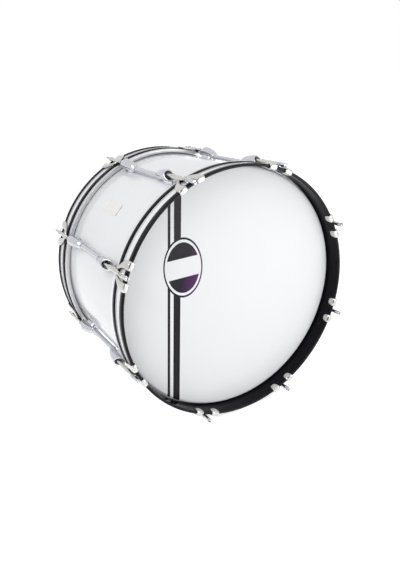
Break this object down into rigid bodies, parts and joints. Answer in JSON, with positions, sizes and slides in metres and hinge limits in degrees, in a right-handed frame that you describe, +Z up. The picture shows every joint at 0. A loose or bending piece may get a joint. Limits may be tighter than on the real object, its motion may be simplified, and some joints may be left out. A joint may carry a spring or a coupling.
{
  "type": "marching bass drum",
  "caption": "Round two-headed bass drum with a deep cylindrical shell, counter hoops, tube lugs, claw hooks and turning tension rods.",
  "frame": {"origin": "centre of the drum, on its axis, half way between the two heads", "axes": "+Y along the drum's axis from the batter side to the resonant side, +Z up, two lugs straddle the lowest point"},
  "size_m": [0.528, 0.4106, 0.528],
  "materials": {
    "shell": "white high-gloss covering",
    "bare_wood": "bare ply",
    "head": "smooth white film",
    "flesh_hoop": "satin",
    "hoop": "black satin lacquer",
    "inlay": "gloss",
    "chrome": "polished",
    "badge": "blank, with a thin border"
  },
  "bodies": {
    "drum": {"shell": "shell", "badge": "badge", "vent_grommet": "chrome", "front_head": "head", "front_flesh_hoop": "flesh_hoop", "front_hoop": "hoop", "front_hoop_inlay": "inlay", "front_reinforcing_ring": "bare_wood", "claw_front_1": "chrome", "claw_front_2": "chrome", "claw_front_3": "chrome", "claw_front_4": "chrome", "claw_front_5": "chrome", "claw_front_6": "chrome", "claw_front_7": "chrome", "claw_front_8": "chrome", "rear_head": "head", "rear_flesh_hoop": "flesh_hoop", "rear_hoop": "hoop", "rear_hoop_inlay": "inlay", "rear_reinforcing_ring": "bare_wood", "claw_rear_1": "chrome", "claw_rear_2": "chrome", "claw_rear_3": "chrome", "claw_rear_4": "chrome", "claw_rear_5": "chrome", "claw_rear_6": "chrome", "claw_rear_7": "chrome", "claw_rear_8": "chrome", "lug_1": "chrome", "lug_2": "chrome", "lug_3": "chrome", "lug_4": "chrome", "lug_5": "chrome", "lug_6": "chrome", "lug_7": "chrome", "lug_8": "chrome"},
    "tension_rod_front_1": {"tension_rod_front_1": "chrome"},
    "tension_rod_front_2": {"tension_rod_front_2": "chrome"},
    "tension_rod_front_3": {"tension_rod_front_3": "chrome"},
    "tension_rod_front_4": {"tension_rod_front_4": "chrome"},
    "tension_rod_front_5": {"tension_rod_front_5": "chrome"},
    "tension_rod_front_6": {"tension_rod_front_6": "chrome"},
    "tension_rod_front_7": {"tension_rod_front_7": "chrome"},
    "tension_rod_front_8": {"tension_rod_front_8": "chrome"},
    "tension_rod_rear_1": {"tension_rod_rear_1": "chrome"},
    "tension_rod_rear_2": {"tension_rod_rear_2": "chrome"},
    "tension_rod_rear_3": {"tension_rod_rear_3": "chrome"},
    "tension_rod_rear_4": {"tension_rod_rear_4": "chrome"},
    "tension_rod_rear_5": {"tension_rod_rear_5": "chrome"},
    "tension_rod_rear_6": {"tension_rod_rear_6": "chrome"},
    "tension_rod_rear_7": {"tension_rod_rear_7": "chrome"},
    "tension_rod_rear_8": {"tension_rod_rear_8": "chrome"}
  },
  "joints": [
    {"name": "tension_rod_front_1_turn", "type": "hinge", "parent": "drum", "child": "tension_rod_front_1", "pos_m": [0.24899, 0, 0.10313], "axis": [0, -1, 0], "continuous": true},
    {"name": "tension_rod_front_2_turn", "type": "hinge", "parent": "drum", "child": "tension_rod_front_2", "pos_m": [0.10313, 0, 0.24899], "axis": [0, -1, 0], "continuous": true},
    {"name": "tension_rod_front_3_turn", "type": "hinge", "parent": "drum", "child": "tension_rod_front_3", "pos_m": [-0.10313, 0, 0.24899], "axis": [0, -1, 0], "continuous": true},
    {"name": "tension_rod_front_4_turn", "type": "hinge", "parent": "drum", "child": "tension_rod_front_4", "pos_m": [-0.24899, 0, 0.10313], "axis": [0, -1, 0], "continuous": true},
    {"name": "tension_rod_front_5_turn", "type": "hinge", "parent": "drum", "child": "tension_rod_front_5", "pos_m": [-0.24899, 0, -0.10313], "axis": [0, -1, 0], "continuous": true},
    {"name": "tension_rod_front_6_turn", "type": "hinge", "parent": "drum", "child": "tension_rod_front_6", "pos_m": [-0.10313, 0, -0.24899], "axis": [0, -1, 0], "continuous": true},
    {"name": "tension_rod_front_7_turn", "type": "hinge", "parent": "drum", "child": "tension_rod_front_7", "pos_m": [0.10313, 0, -0.24899], "axis": [0, -1, 0], "continuous": true},
    {"name": "tension_rod_front_8_turn", "type": "hinge", "parent": "drum", "child": "tension_rod_front_8", "pos_m": [0.24899, 0, -0.10313], "axis": [0, -1, 0], "continuous": true},
    {"name": "tension_rod_rear_1_turn", "type": "hinge", "parent": "drum", "child": "tension_rod_rear_1", "pos_m": [0.24899, 0, 0.10313], "axis": [0, 1, 0], "continuous": true},
    {"name": "tension_rod_rear_2_turn", "type": "hinge", "parent": "drum", "child": "tension_rod_rear_2", "pos_m": [0.10313, 0, 0.24899], "axis": [0, 1, 0], "continuous": true},
    {"name": "tension_rod_rear_3_turn", "type": "hinge", "parent": "drum", "child": "tension_rod_rear_3", "pos_m": [-0.10313, 0, 0.24899], "axis": [0, 1, 0], "continuous": true},
    {"name": "tension_rod_rear_4_turn", "type": "hinge", "parent": "drum", "child": "tension_rod_rear_4", "pos_m": [-0.24899, 0, 0.10313], "axis": [0, 1, 0], "continuous": true},
    {"name": "tension_rod_rear_5_turn", "type": "hinge", "parent": "drum", "child": "tension_rod_rear_5", "pos_m": [-0.24899, 0, -0.10313], "axis": [0, 1, 0], "continuous": true},
    {"name": "tension_rod_rear_6_turn", "type": "hinge", "parent": "drum", "child": "tension_rod_rear_6", "pos_m": [-0.10313, 0, -0.24899], "axis": [0, 1, 0], "continuous": true},
    {"name": "tension_rod_rear_7_turn", "type": "hinge", "parent": "drum", "child": "tension_rod_rear_7", "pos_m": [0.10313, 0, -0.24899], "axis": [0, 1, 0], "continuous": true},
    {"name": "tension_rod_rear_8_turn", "type": "hinge", "parent": "drum", "child": "tension_rod_rear_8", "pos_m": [0.24899, 0, -0.10313], "axis": [0, 1, 0], "continuous": true}
  ]
}
